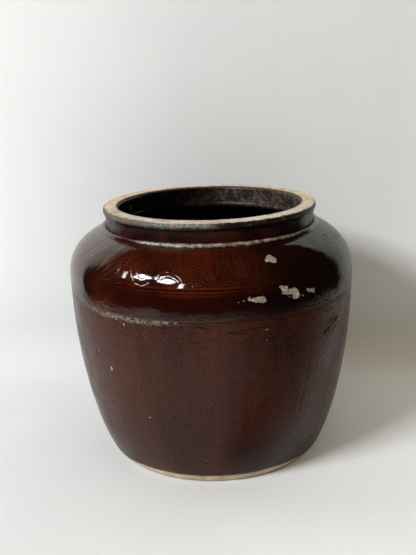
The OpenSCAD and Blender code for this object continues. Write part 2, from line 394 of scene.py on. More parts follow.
# Grooves and scrapes: (degrees, height) at both ends, half width, depth; negative depth stands out
GASHES = [
    (43, 130, 55.5, 142, 0.9, 0.8), (45.5, 126.5, 56, 135.5, 0.7, 0.5), (47, 139, 54, 146, 0.6, 0.4),
    (36, 162.5, 42, 161, 0.9, 0.4), (41, 159, 48.5, 149.5, 0.8, 0.35),
    (44, 163, 49.5, 160.5, 0.7, 0.4), (5, 150.4, 9.5, 149.2, 1.3, 0.45),
    (8.5, 149.8, 12.5, 148.4, 0.9, 0.35), (-6.5, 156, -2, 154.6, 1, 0.35),
    (8, 138.6, 12.5, 138, 0.8, 0.3), (16, 154.6, 22, 152.4, 0.8, 0.3),
    (-16, 145, 1.5, 141.4, 0.5, 0.12), (-13, 142.4, -2, 140.6, 0.4, 0.1), (60, 92, 64, 131, 1.2, 0.3),
    (52, 60, 57, 118, 1.4, 0.22), (34, 45, 38, 110, 1.6, 0.16), (-29, 117, -32.5, 74, 1.4, 0.2),
    (-62, 60, -58, 140, 1.5, 0.22), (118, 70, 123, 138, 1.3, 0.3), (141, 148, 160, 143, 0.8, 0.3),
    (-150, 96, -139, 121, 1, 0.35), (-101, 52, -97, 128, 1.5, 0.2), (-128, 160.5, -118, 163, 0.8, 0.3),
    (172, 60, 178, 70, 1, 0.3), (205, 128, 214, 112, 0.9, 0.3),
]
# Low bumps and hollows: (degrees, height, radius, height of the bump)
BUMPS = [
    (86, 92, 13, 0.55), (-78, 196, 26, 0.35), (92, 197, 24, -0.45), (-12, 60, 30, 0.2),
    (38, 100, 24, -0.25), (-40, 130, 28, 0.2), (150, 90, 30, -0.3), (-150, 110, 30, 0.3),
    (200, 60, 22, 0.3), (62, 140, 12, -0.3),
]
# The two lines drawn round the shoulder below the ornament: (height, depth)
RING_LINES = [(183.6, 0.10), (181.6, 0.06)]


def gash_field(th, s):
    total = np.zeros(np.broadcast(th, s).shape)
    for az0, z0, az1, z1, half_w, depth in GASHES:
        s0, s1 = WALL.s_of_z(z0 * MM), WALL.s_of_z(z1 * MM)
        r0 = WALL.r_at((s0 + s1) / 2)
        x, y = around(th, (az0 + az1) / 2) * r0, s - (s0 + s1) / 2
        run, rise = math.radians(az1 - az0) * r0 / 2, (s1 - s0) / 2
        t = np.clip((x * run + y * rise) / (run * run + rise * rise), -1, 1)
        off = np.hypot(x - t * run, y - t * rise)
        total -= depth * MM * (1 - 0.6 * t * t) * groove(off, half_w * MM)
    return total


def bump_field(th, s):
    total = np.zeros(np.broadcast(th, s).shape)
    for az, z, radius, height in BUMPS:
        s0 = WALL.s_of_z(z * MM)
        off = np.hypot(around(th, az) * WALL.r_at(s0), s - s0)
        total += height * MM * np.exp(-((off / (radius * MM)) ** 2))
    return total


def ring_lines(th, s):
    total = 0
    for k, (z, depth) in enumerate(RING_LINES):
        s0 = WALL.s_of_z(z * MM) + rough(th, 0 * s, 60 * MM, 51 + k) * 0.5 * MM
        total = total - depth * MM * groove(s - s0, 0.95 * MM)
    return total


def form_field(th, s):
    """The slow unevenness that the clay itself has: it moves clay and glaze alike."""
    throwing = rough(th, s, 7 * MM, 5, octaves=2, stretch=40) * 0.10 * MM
    paddle = rough(th, s, 34 * MM, 9, octaves=2, stretch=1.3) * 0.16 * MM
    fade = smooth(0, 12 * MM, s) * smooth(UP_LENGTH, UP_LENGTH - 10 * MM, s)
    return bump_field(th, s) * fade + (throwing + paddle) * (0.35 + 0.65 * fade)


def glaze_field(th, s, strokes):
    """What shows in the glaze's own surface on top of the clay's form."""
    glossy = smooth(S_SEAM + 3 * MM, S_SEAM + 16 * MM, s)
    grit = np.clip(rough(th, s, 2.2 * MM, 13, octaves=1) - 0.5, 0, 1) * 0.34 * MM * (1 - 0.92 * glossy)
    skirt = smooth(S_SEAM, S_SEAM + 4 * MM, s) * smooth(S_SEAM + 22 * MM, S_SEAM + 8 * MM, s)
    dimples = rough(th, s, 4.5 * MM, 27, octaves=2, stretch=2) * 0.055 * MM * skirt
    ripple = rough(th, s, 5 * MM, 17, octaves=2) * (0.050 - 0.044 * glossy) * MM
    pressure = 0.7 + 0.5 * rough(th, s, 11 * MM, 19)
    drawn = -0.05 * MM * groove(strokes, 0.5 * MM) * pressure
    return grit + ripple + dimples + drawn + ring_lines(th, s) + gash_field(th, s)


# ---------------- grids and meshes

COARSER = 1.0
COLUMNS = np.linspace(-math.pi, math.pi, 881)[:-1]
PLAIN_COLUMNS = np.linspace(-math.pi, math.pi, 451)[:-1]


def spaced(low, high, coarse, spots=(), fine=1.0):
    """Places from low to high, a coarse step apart, and a fine step inside the spots (middle, reach)."""
    out, x = [low], low
    while x < high:
        near = any(abs(x - middle) < reach for middle, reach in spots)
        x += fine if near else coarse
        out.append(min(x, high))
    return np.array(out)


def chips_between(low, high):
    return [chip for chip in CHIPS if low < chip[1] < high]


def chip_rows(low, high, coarse, fine):
    """Lengths from low to high, closer together at the chips."""
    chips = chips_between(low, high)
    spots = [(s0, np.abs(corners[:, 1]).max() + 0.9 * MM) for az, s0, r0, corners in chips]
    return spaced(low, high, coarse * COARSER, spots, fine * COARSER)


def chip_columns(low, high, coarse, fine, extra=()):
    """Angles round the pot, coarse and fine in degrees, closer together at the chips between two lengths."""
    spots = [(math.radians(middle), math.radians(reach)) for middle, reach in extra]
    for az, s0, r0, corners in chips_between(low, high):
        spots.append((around(math.radians(az), 0), (np.abs(corners[:, 0]).max() + 1.2 * MM) / r0))
    coarse_step, fine_step = math.radians(coarse * COARSER), math.radians(fine * COARSER)
    return spaced(-math.pi, math.pi, coarse_step, spots, fine_step)[:-1]


def new_object(name, mesh):
    obj = bpy.data.objects.new(name, mesh)
    bpy.context.scene.collection.objects.link(obj)
    return obj


def new_mesh(name, points, quads, triangles, fields, uv):
    """A smooth object from points, faces, values on the points, and texture places for a ring."""
    mesh = bpy.data.meshes.new(name)
    faces4 = np.asarray(quads, np.int32).reshape(-1, 4)
    faces3 = np.asarray(triangles, np.int32).reshape(-1, 3)
    mesh.vertices.add(len(points))
    mesh.vertices.foreach_set("co", np.ascontiguousarray(points, np.float32).ravel())
    loops = np.concatenate([faces4.ravel(), faces3.ravel()])
    mesh.loops.add(len(loops))
    mesh.loops.foreach_set("vertex_index", loops)
    starts = np.concatenate([np.arange(len(faces4)) * 4, len(faces4) * 4 + np.arange(len(faces3)) * 3])
    mesh.polygons.add(len(starts))
    mesh.polygons.foreach_set("loop_start", starts.astype(np.int32))
    mesh.update(calc_edges=True)
    mesh.polygons.foreach_set("use_smooth", np.ones(len(starts), bool))
    for key, values in fields.items():
        layer = mesh.attributes.new(key, "FLOAT", "POINT")
        layer.data.foreach_set("value", np.asarray(values, np.float32).ravel())
    if uv is not None:
        layer = mesh.uv_layers.new(name="OFBake")
        layer.data.foreach_set("uv", np.asarray(uv, np.float32).ravel())
    mesh.validate()
    return new_object(name, mesh)


def texture_places(th, rz, i, j):
    """Round and along the outline of a ring, for the four corners of the face in row i and column j."""
    middle = rz.mean(1)
    closed = np.concatenate([middle, middle[:1]])
    v = np.concatenate([[0], np.cumsum(np.linalg.norm(np.diff(closed, axis=0), axis=1))])
    v /= v[-1]
    u = (np.concatenate([th, [th[0] + TURN]]) - th[0]) / TURN
    corners = [(u[j], v[i]), (u[j + 1], v[i]), (u[j + 1], v[i + 1]), (u[j], v[i + 1])]
    return np.stack([np.stack(c, -1) for c in corners], 2)


def revolved(name, th, rz, cup=False, **fields):
    """A closed piece from outline points rz[row, column] and angles th, from the front to the right.

    A ring's last row joins its first. The two end rows of a cup close on the axis.
    """
    rows, cols = rz.shape[:2]
    r, z = rz[..., 0], rz[..., 1]
    points = np.stack([r * np.sin(th), -r * np.cos(th), z], -1).reshape(-1, 3)
    i, j = np.meshgrid(np.arange(rows - cup), np.arange(cols), indexing="ij")
    i1, j1 = (i + 1) % rows, (j + 1) % cols
    quads = np.stack([i * cols + j, i * cols + j1, i1 * cols + j1, i1 * cols + j], -1)
    grids = {key: np.broadcast_to(values, (rows, cols)) for key, values in fields.items()}
    if not cup:
        return new_mesh(name, points, quads, [], grids, texture_places(th, rz, i, j))
    points = np.concatenate([points, [[0, 0, z[0].mean()], [0, 0, z[-1].mean()]]])
    first, last, top = rows * cols, rows * cols + 1, (rows - 1) * cols
    c = np.arange(cols)
    fans = [(np.full(cols, first), (c + 1) % cols, c), (np.full(cols, last), top + c, top + (c + 1) % cols)]
    triangles = np.concatenate([np.stack(fan, -1) for fan in fans])
    for key, grid in grids.items():
        grids[key] = np.concatenate([grid.ravel(), [grid[0].mean(), grid[-1].mean()]])
    return new_mesh(name, points, quads, triangles, grids, None)


def skin(name, columns, front, back, cup=False, **fields):
    """A closed piece from a shown and a hidden face; a field is (values on the front, value behind)."""
    whole = {}
    for key, (values, behind) in fields.items():
        shown = np.broadcast_to(values, front.shape[:2])
        whole[key] = np.concatenate([shown, np.full(back.shape[:2], behind)])
    return revolved(name, columns, np.concatenate([front, back]), cup, **whole)


def pushed(outline, s, amount):
    """Rows of outline points at lengths s, each moved along its normal by amount[row, column]."""
    p, n = outline.at(s), outline.normal(s)
    return p[:, None, :] + n[:, None, :] * amount[..., None]


def even_rows(points, columns):
    """Rows that are the same all the way round."""
    return np.broadcast_to(np.asarray(points, float)[:, None, :], (len(points), len(columns), 2))


# ---------------- the outer glaze and the walls

PIT = -0.10 * MM
BACK = -0.18 * MM
BACK_ROWS = 10

# How high above the ground the glaze starts: (degrees from the front, height)
EDGE_HEIGHTS = [
    (-180, 6), (-150, 7.5), (-120, 8), (-90, 5), (-62, 3.4), (-50, 3.8), (-43, 5.8), (-30, 7.8),
    (0, 8.6), (25, 8), (40, 6.6), (51, 4.2), (70, 3.6), (100, 6), (130, 8.2), (155, 8), (180, 6),
]


def lower_edge(th, rows):
    """How far above the coat's first row the glaze starts."""
    stray = rough(th, 0 * rows, 14 * MM, 23) * 0.5
    return (np.interp(np.degrees(around(th, 0)), *zip(*EDGE_HEIGHTS)) + stray) * MM - LOWEST_GLAZE_Z


def coat(name, s_low, s_high, columns, row_steps, low_taper, high_taper, wandering):
    """A closed skin of glaze on the wall from s_low to s_high, with pits at the chips and rounded edges."""
    s = chip_rows(s_low, s_high, *row_steps)
    th, rows = columns[None, :], s[:, None]
    strokes, chips = stroke_distance(th, rows), chip_distance(th, rows)
    form, own = form_field(th, rows), glaze_field(th, rows, strokes)
    # below a wandering lower edge the coat lies out of sight under the clay
    rise = rows - s_low - (lower_edge(th, rows) if wandering else 0)
    sunk = smooth(0, -0.8 * MM, rise) * 0.75 * MM if wandering else 0
    edge = np.sqrt(smooth(0, low_taper, rise)) * np.sqrt(smooth(0, high_taper, s_high - rows))
    whole = form + GLAZE_T * edge - sunk + own * edge
    pit = form + PIT
    front = pushed(WALL, s, pit + (whole - pit) * smooth(-0.15 * MM, 0.30 * MM, chips))
    back_s = np.linspace(s_high, s_low, BACK_ROWS)
    back = pushed(WALL, back_s, form_field(th, back_s[:, None]) + BACK)
    fields = {"chip": (chips / MM, 5), "stroke": (strokes / MM, 6), "own": (own / MM, 0)}
    return skin(name, columns, front, back, **fields)


def clay_wall(name, s_low, s_high, inner):
    """The clay behind the glaze: its outer face follows the same form and stands rough inside the chips."""
    s = chip_rows(s_low, s_high, 3 * MM, 0.5 * MM)
    columns = chip_columns(s_low, s_high, 1.2, 0.24)
    th, rows = columns[None, :], s[:, None]
    chips = chip_distance(th, rows)
    grain = 0.20 * MM + rough(th, rows, 1.6 * MM, 31, octaves=2) * 0.16 * MM
    front = pushed(WALL, s, form_field(th, rows) + grain * smooth(0.35 * MM, -0.1 * MM, chips))
    return skin(name, columns, front, even_rows(inner, columns), chip=(chips / MM, 5))


def hollow_points(z_high, z_low, count):
    """Points down the inside of the wall."""
    return [HOLLOW.at(HOLLOW.s_of_z(z)) for z in np.linspace(z_high, z_low, count)]


def glaze_and_walls():
    """The two outer coats of glaze and the two walls behind them."""
    seam_low, seam_high = S_SEAM - SEAM_W / 2, S_SEAM + SEAM_W / 2
    lowest, highest = WALL.s_of_z(LOWEST_GLAZE_Z), S_ROLL + 2.2 * MM
    scratched = [(49, 8)]
    low_columns = chip_columns(lowest, seam_low, 0.58, 0.28, scratched)
    high_columns = chip_columns(seam_high, highest, 0.48, 0.27)
    low_steps, high_steps = (1.9 * MM, 0.62 * MM), (0.78 * MM, 0.52 * MM)
    lower = coat("glaze_lower", lowest, seam_low, low_columns, low_steps, 1.3 * MM, 0.5 * MM, True)
    shoulder = coat(
        "glaze_shoulder", seam_high, highest, high_columns, high_steps, 0.5 * MM, 1.2 * MM, False
    )
    wall_low = clay_wall("clay_lower_wall", S_SLAB, S_SEAM, hollow_points(SEAM_Z, SLAB_Z, 24))
    inner = [p for p in hollow_points(HOLLOW_TOP_Z, SEAM_Z, 40) if p[0] > MOUTH_R + 7 * MM]
    wall_up = clay_wall("clay_shoulder_wall", S_SEAM, UP_LENGTH, [(MOUTH_R + 5 * MM, NECK_Z)] + inner)
    return lower, shoulder, wall_low, wall_up


# How far the seam's bead stands out along the turn: (degrees from the front, share of its full height)
SEAM_SHARES = [
    (-180, 0.8), (-110, 0.9), (-72, 0.95), (-45, 0.95), (-18, 0.88),
    (0, 0.74), (24, 0.76), (60, 0.74), (110, 0.8), (180, 0.8),
]
SEAM_SPREAD = 0.60 * MM


def seam_bead():
    """The thin ridge of luting clay between the two walls, worn bare in places."""
    th = COLUMNS[None, :]
    t = np.linspace(0, math.pi, 9)[:, None]
    wander = rough(th, 0 * th, 50 * MM, 61) * 0.45 * MM
    share = np.interp(np.degrees(around(th, 0)), *zip(*SEAM_SHARES))
    high = SEAM_OUT * share * (0.9 + 0.22 * rough(th, 0 * th, 5 * MM, 63, octaves=4))
    s = S_SEAM - (SEAM_W / 2 + SEAM_SPREAD) * np.cos(t) + wander * np.sin(t)
    base = form_field(th, S_SEAM + 0 * th)
    lift = base + (high - 0.1 * MM) * np.sin(t) ** 0.6 + 0.05 * MM
    front = WALL.at(s) + WALL.normal(s) * lift[..., None]
    foot_s = np.array([S_SEAM + SEAM_W / 2, S_SEAM - SEAM_W / 2])
    back = pushed(WALL, foot_s, np.repeat(base - 0.3 * MM, 2, 0))
    return skin("seam_bead", COLUMNS, front, back, crest=(np.sin(t), 0))


# ---------------- foot, collar, rim and inside


def slab():
    """The base slab, with its bare rough edge and a worn lower corner."""
    th = COLUMNS[None, :]
    s = spaced(0, S_SLAB, 0.8 * MM)
    rows = s[:, None]
    grain = rough(th, rows, 3 * MM, 81) * 0.13 * MM + rough(th, rows, 12 * MM, 83, stretch=2) * 0.15 * MM
    below_wall = smooth(S_SLAB, S_SLAB - 1.5 * MM, rows)
    side = pushed(WALL, s, form_field(th, rows) + (grain - 0.1 * MM) * below_wall)
    nick = np.clip(rough(th, 0 * th, 9 * MM, 85), -1, 0.2)[0]
    side[0, :, 1] = 0.6 * MM - nick * 0.35 * MM
    side[0, :, 0] -= 0.15 * MM
    bottom = [(r * MM, 0) for r in (14, 40, 66, 88)]
    bottom += [(FOOT_R - 2.6 * MM, 0), (FOOT_R - 1.2 * MM, 0.12 * MM)]
    top = [(60 * MM, SLAB_Z), (14 * MM, SLAB_Z)]
    rz = np.concatenate([even_rows(bottom, COLUMNS), side, even_rows(top, COLUMNS)])
    return revolved("foot_slab", COLUMNS, rz, cup=True)


def collar_face():
    t = np.linspace(0, 1, 200)
    r = COLLAR_R + COLLAR_FLARE * np.cos(math.pi * t) ** 2
    return Outline(np.stack([r, NECK_Z + (RIM_Z - NECK_Z) * t], 1))


def collar_coat():
    """Glaze on the outside of the collar, from the roll to the underside of the rim."""
    face = collar_face()
    start = ROLL_MID_Z + ROLL_R * 0.55 - NECK_Z
    s = np.linspace(start, face.length, 22)
    th, rows = COLUMNS[None, :], s[:, None]
    shift = rows + UP_LENGTH * 0.3
    form = rough(th, shift, 26 * MM, 91, stretch=2) * 0.18 * MM
    form = form + rough(th, shift, 5 * MM, 95, stretch=30) * 0.08 * MM
    runs = rough(th, 0 * rows, 12 * MM, 93, octaves=2) * 0.06 * MM
    edge = np.sqrt(smooth(0, 0.8 * MM, rows - start))
    front = pushed(face, s, form + (COLLAR_GLAZE_T + runs) * edge + 0.02 * MM)
    back_s = s[::-1][::3]
    back = pushed(face, back_s, np.full((len(back_s), len(COLUMNS)), -0.4 * MM))
    return skin("glaze_collar", COLUMNS, front, back, up=((rows - start) / MM, 0))


def luting_roll():
    """The roll of clay round the foot of the collar, pressed down to a soft fillet on the shoulder."""
    th = COLUMNS[None, :]
    t = np.radians(np.linspace(-150, 130, 26))[:, None]
    swelling = rough(th, 0 * th, 22 * MM, 101) * 0.28 * MM + rough(th, 0 * th, 4 * MM, 103) * 0.10 * MM
    radius = ROLL_R + swelling * np.clip(np.cos(t), 0, 1) + rough(th, t * 20 * MM, 2.5 * MM, 105) * 0.05 * MM
    radius = radius * (1 + 0.34 * np.exp(-(((t + 0.72) / 0.5) ** 2)))
    rz = np.stack([ROLL_MID_R + radius * np.cos(t), ROLL_MID_Z + radius * np.sin(t) * 0.94], -1)
    inside = even_rows([(COLLAR_R - 0.5 * MM, ROLL_MID_Z)], COLUMNS)
    return skin("luting_roll", COLUMNS, rz, inside, turn=(np.degrees(t), -180))


def rim_outline():
    """From the inside of the rim's underside outwards, over the top and down to the start."""
    def corner(r, z, radius, start):
        a = np.radians(np.linspace(start, start + 90, 9))
        return np.stack([r + radius * np.cos(a), z + radius * np.sin(a)], 1)

    out_r, in_r = RIM_R - RIM_ROUND_OUT, MOUTH_R + RIM_ROUND_IN
    return Outline(np.concatenate([
        [[MOUTH_R, RIM_Z], [COLLAR_R, RIM_Z]],
        corner(out_r, RIM_Z + RIM_ROUND_OUT, RIM_ROUND_OUT, -90),
        corner(out_r, JAR_H - RIM_ROUND_OUT, RIM_ROUND_OUT, 0),
        corner(in_r, JAR_H - RIM_ROUND_IN, RIM_ROUND_IN, 90),
        [[MOUTH_R, RIM_Z + 1e-6]],
    ]))


def rim():
    """The thick bare rim: a slightly uneven flat top, rounded edges with small nicks, and a rough side."""
    base = rim_outline()
    s = spaced(0, base.length - 0.2 * MM, 0.55 * MM)
    r, z = np.split(base.at(s), 2, axis=1)
    th, shift = COLUMNS[None, :], s[:, None] + UP_LENGTH * 0.5
    slow = rough(th, shift, 28 * MM, 111, octaves=2) * 0.16 * MM
    grain = rough(th, shift, 3 * MM, 113) * 0.10 * MM
    outside = smooth(RIM_R - 3.5 * MM, RIM_R - 0.8 * MM, r)
    upper = smooth(JAR_H - 3.2 * MM, JAR_H - 1.2 * MM, z)
    nick = -np.clip(rough(th, shift, 7 * MM, 115) - 0.30, 0, 1) * 0.9 * MM
    amount = slow + grain - 0.12 * MM + nick * outside * (0.4 + 0.6 * upper)
    rz = pushed(base, s, amount * smooth(0, 3 * MM, z - RIM_Z))
    rz[..., 1] = np.minimum(rz[..., 1], JAR_H - 0.02 * MM)
    return revolved("bare_rim", COLUMNS, rz, side=outside, up=(z - RIM_Z) / MM, radius=r / MM)


def bend(a, b, c):
    """A curve from a to c that bends towards b."""
    t = np.linspace(0, 1, 30)[:, None]
    return (1 - t) ** 2 * np.array(a) + 2 * t * (1 - t) * np.array(b) + t * t * np.array(c)


def inner_face():
    """The clay face inside, from the middle of the floor to the rounded edge of the rim."""
    coil_end = HOLLOW.at(HOLLOW.s_of_z(SLAB_Z + COIL_W))
    coil = bend((HEEL_IN_R - COIL_W, SLAB_Z), (HEEL_IN_R, SLAB_Z), coil_end)
    # the lip where the shoulder turns into the collar is a soft corner
    soften = 4.5 * MM
    wall = HOLLOW.points[HOLLOW.points[:, 1] > coil_end[1] + 0.1 * MM]
    wall = wall[wall[:, 0] > MOUTH_R + soften]
    lip = bend(wall[-1], (MOUTH_R + 0.4 * MM, HOLLOW_TOP_Z - 0.2 * MM), (MOUTH_R, HOLLOW_TOP_Z + soften))
    floor = [(6 * MM, SLAB_Z), (40 * MM, SLAB_Z)]
    return Outline(np.concatenate([floor, coil, wall, lip[1:], [(MOUTH_R, JAR_H - RIM_ROUND_IN)]]))


def inner_coat():
    """The dark glaze inside, with throwing rings on the wall and a crusted band inside the collar."""
    face = inner_face()
    fine_from = face.length - 46 * MM
    s = np.concatenate([np.arange(0, fine_from, 2.6 * MM), np.linspace(fine_from, face.length, 90)])
    th, rows = PLAIN_COLUMNS[None, :], s[:, None]
    z = face.at(s)[:, 1:]
    shift = rows % UP_LENGTH
    up_wall = smooth(SLAB_Z + 14 * MM, SLAB_Z + 40 * MM, z)
    rings = rough(th, shift, 6 * MM, 121, octaves=2, stretch=60) * 0.30 * MM * up_wall
    slow = rough(th, shift, 30 * MM, 123) * 0.15 * MM
    crusted = smooth(NECK_Z - 8 * MM, NECK_Z + 2 * MM, z)
    crust = np.clip(rough(th, shift, 2.2 * MM, 125, octaves=2), -0.2, 1) * 0.16 * MM * crusted
    lip = 0.45 * MM * np.exp(-(((z - NECK_Z - 2.4 * MM) / (0.9 * MM)) ** 2))
    end = np.sqrt(smooth(face.length, face.length - 1.5 * MM, rows))
    front = pushed(face, s, -(INNER_GLAZE_T * (0.15 + 0.85 * end) + rings + slow * end + crust * end + lip))
    back_s = s[::-1][::12]
    back = pushed(face, back_s, np.full((len(back_s), len(PLAIN_COLUMNS)), 0.25 * MM))
    return skin("glaze_inside", PLAIN_COLUMNS, front, back, cup=True, up=(z / MM, 0))


# ---------------- short names for shader nodes


class Graph:
    """A tree of shader nodes, built by short calls."""

    def __init__(self, owner, output):
        owner.use_nodes = True
        self.tree = owner.node_tree
        self.tree.nodes.clear()
        self.surface = self.node(output).inputs["Surface"]

    def node(self, kind, **settings):
        n = self.tree.nodes.new("ShaderNode" + kind)
        for key, value in settings.items():
            setattr(n, key, value)
        return n

    def put(self, socket, value):
        """Link a socket or set it; a colour is given as red, green and blue."""
        if isinstance(value, bpy.types.NodeSocket):
            self.tree.links.new(value, socket)
        else:
            socket.default_value = (*value, 1) if socket.type == "RGBA" else value

    def fed(self, n, *values, **named):
        """The first output of a node, after its inputs are filled in order or by name."""
        for socket, value in zip(n.inputs, values):
            self.put(socket, value)
        for key, value in named.items():
            self.put(n.inputs[key.replace("_", " ")], value)
        return n.outputs[0]

    def math(self, operation, *values):
        return self.fed(self.node("Math", operation=operation), *values)

    def times(self, first, *others):
        for other in others:
            first = self.math("MULTIPLY", first, other)
        return first

    def plus(self, first, *others):
        for other in others:
            first = self.math("ADD", first, other)
        return first

    def weighted(self, *pairs):
        """The sum of values, each times its own weight."""
        return self.plus(*[self.times(value, weight) for value, weight in pairs])

    def band(self, value, low, high, out_low=0.0, out_high=1.0):
        """Smoothly from out_low to out_high as value goes from low to high."""
        n = self.node("MapRange", interpolation_type="SMOOTHSTEP")
        return self.fed(n, value, low, high, out_low, out_high)

    def window(self, value, a, b, c, d):
        """Smoothly up from a to b and down again from c to d."""
        return self.times(self.band(value, a, b), self.band(value, d, c))

    def stray(self, noise, amount):
        """Half the amount to either side of nothing."""
        return self.times(self.math("SUBTRACT", noise, 0.5), amount)


class Surface(Graph):
    """A material, with the place on the object as its coordinates."""

    def __init__(self, name):
        self.material = bpy.data.materials.new(name)
        super().__init__(self.material, "OutputMaterial")
        self.place = self.node("TexCoord").outputs["Object"]
        split = self.node("SeparateXYZ")
        self.put(split.inputs[0], self.place)
        self.x, self.y, self.z = split.outputs

    def angle(self):
        """Degrees round the pot from the front towards the right, from -180 to 180."""
        return self.math("DEGREES", self.math("ARCTAN2", self.x, self.times(self.y, -1.0)))

    def attribute(self, name):
        return self.node("Attribute", attribute_name=name).outputs["Fac"]

    def stretched(self, share):
        """The place with its height scaled, so that a share below 1 draws marks out up the wall."""
        return self.fed(self.node("Mapping"), Vector=self.place, Scale=(1, 1, share))

    def strands(self, share):
        """Coordinates for marks up the wall: round the pot at the belly's size, with the height scaled."""
        flat = self.fed(self.node("CombineXYZ"), self.x, self.y)
        unit = self.fed(self.node("VectorMath", operation="NORMALIZE"), flat)
        wide = self.fed(self.node("VectorMath", operation="SCALE"), unit, Scale=BELLY_R)
        lift = self.fed(self.node("CombineXYZ"), Z=self.times(self.z, share))
        return self.fed(self.node("VectorMath", operation="ADD"), wide, lift)

    def noise(self, scale, detail=3, roughness=0.55, at=None):
        where = self.place if at is None else at
        return self.fed(self.node("TexNoise"), Vector=where, Scale=scale, Detail=detail, Roughness=roughness)

    def spots(self, scale, at=None, feature="F1"):
        where = self.place if at is None else at
        return self.fed(self.node("TexVoronoi", feature=feature), Vector=where, Scale=scale)

    def mix(self, factor, a, b):
        n = self.node("Mix", data_type="RGBA")
        self.put(n.inputs["Factor"], factor)
        self.put(n.inputs[6], a)
        self.put(n.inputs[7], b)
        return n.outputs[2]

    def painted(self, color, *layers):
        """Colours laid over each other, each as (where, colour)."""
        for where, paint in layers:
            color = self.mix(where, color, paint)
        return color

    def shade(self, kind, **inputs):
        """One shader as the whole surface."""
        self.put(self.surface, self.fed(self.node(kind), **inputs))
        return self.material

    def finish(self, color, roughness, height, strength, distance, **others):
        normal = self.fed(self.node("Bump"), Height=height, Strength=strength, Distance=distance)
        others |= {"Base_Color": color, "Roughness": roughness, "Normal": normal}
        return self.shade("BsdfPrincipled", **others)


# ---------------- clay

# Each clay as its pale, tan and warm tone
BROKEN_CLAY = (0.60, 0.53, 0.43), (0.47, 0.39, 0.30), (0.30, 0.22, 0.15)
FOOT_CLAY = (0.66, 0.54, 0.40), (0.52, 0.385, 0.265), (0.34, 0.215, 0.13)
ROLL_CLAY = (0.50, 0.45, 0.37), (0.30, 0.26, 0.20), (0.17, 0.13, 0.09)
SEAM_CLAY = (0.36, 0.31, 0.25), (0.20, 0.16, 0.12), (0.12, 0.085, 0.060)
RIM_CLAY_BEHIND = (0.76, 0.61, 0.46), (0.64, 0.475, 0.32), (0.48, 0.31, 0.19)
RIM_CLAY_FRONT = (0.70, 0.62, 0.53), (0.56, 0.465, 0.37), (0.42, 0.30, 0.21)
CLAY_SOOT = (0.050, 0.046, 0.040)
CLAY_DUST = (0.22, 0.17, 0.125)
CRACK_BROWN = (0.13, 0.10, 0.07)
# the pot's lowest edge: real grime darkened further as painted contact shadow
GRIME_AND_CONTACT_SHADE = (0.055, 0.045, 0.032)


def clay_color(g, tones):
    """Fired clay: blotches, fine grain and dark specks."""
    pale, tan, warm = tones
    return g.painted(
        g.mix(g.band(g.noise(70, 4, 0.65), 0.36, 0.60), tan, pale),
        (g.band(g.noise(110), 0.55, 0.75, 0, 0.5), warm),
        (g.band(g.noise(900, 2), 0.35, 0.7, 0.25, 0), warm),
        (g.band(g.spots(420), 0.16, 0.05, 0, 0.75), CLAY_SOOT),
    )


def clay_grain(g):
    return g.weighted((g.noise(520, 4, 0.65), 0.8), (g.noise(1700, 2), 0.35))


def broken_clay(g):
    """Clay where glaze has flaked off, pitted and cracked."""
    cracks = g.spots(330, feature="DISTANCE_TO_EDGE")
    return g.painted(
        clay_color(g, BROKEN_CLAY),
        (g.band(cracks, 0.20, 0.02, 0, 0.75), CRACK_BROWN),
        (g.band(g.noise(480, 3, 0.7), 0.46, 0.60, 0, 0.6), CLAY_DUST),
    )


def clay_material(name, color_of, *tones):
    """Bare clay darkened along the lowest edge, where the pot stands: partly grime, partly painted contact
    shadow.
    """
    g = Surface(name)
    # painted contact shadow along the lowest edge, on top of grime
    grime_and_shade = g.band(g.plus(g.z, g.stray(g.noise(160), 3 * MM)), 2.0 * MM, 0.1 * MM, 0, 0.85)
    color = g.mix(grime_and_shade, color_of(g, *tones), GRIME_AND_CONTACT_SHADE)
    return g.finish(color, g.band(g.noise(240, 2), 0.3, 0.7, 0.72, 0.92), clay_grain(g), 0.5, 0.6 * MM)


def with_chips(g, color, roughness):
    """Colour and roughness with the clay at the chips, and a dark broken edge of glaze round it."""
    chip = g.attribute("chip")
    color = g.painted(
        color,
        (g.band(chip, 0.80, 0.20, 0, 0.75), GLAZE_BLACK),
        (g.band(chip, 0.10, -0.02), broken_clay(g)),
    )
    return color, g.math("MAXIMUM", roughness, g.band(chip, 0.2, 0.0, 0, 0.85))


# ---------------- glaze

GLAZE_AMBER = (0.056, 0.0078, 0.0024)
GLAZE_BROWN = (0.023, 0.0032, 0.0018)
GLAZE_DEEP = (0.0095, 0.0016, 0.0012)
GLAZE_BLACK = (0.0030, 0.0022, 0.0019)
GLAZE_THIN = (0.105, 0.024, 0.006)
GLAZE_POOLED = (0.0080, 0.0008, 0.0006)
# darker glaze at the right, partly painted shade on the side away from the light
GLAZE_RIGHT_DARK_AND_SHADE = (0.0045, 0.0016, 0.0012)
RING_AMBER = (0.120, 0.030, 0.007)
RING_DARK = (0.0060, 0.0012, 0.0010)
BRUSHED_PALE = (0.150, 0.095, 0.075)
GRIT_BROWN = (0.14, 0.07, 0.04)
SCUFF_GREY = (0.110, 0.095, 0.080)
BODY_BROWN = (0.052, 0.0128, 0.0066)
BODY_RUST = (0.105, 0.037, 0.020)
BODY_DARK = (0.0200, 0.0060, 0.0040)
BODY_GRIT = (0.20, 0.125, 0.085)
SEAM_DEPOSIT = (0.24, 0.20, 0.16)
COLLAR_BROWN = (0.036, 0.0050, 0.0026)
COLLAR_BLACK = (0.006, 0.005, 0.0045)
ROLL_BROWN = (0.036, 0.0085, 0.0045)


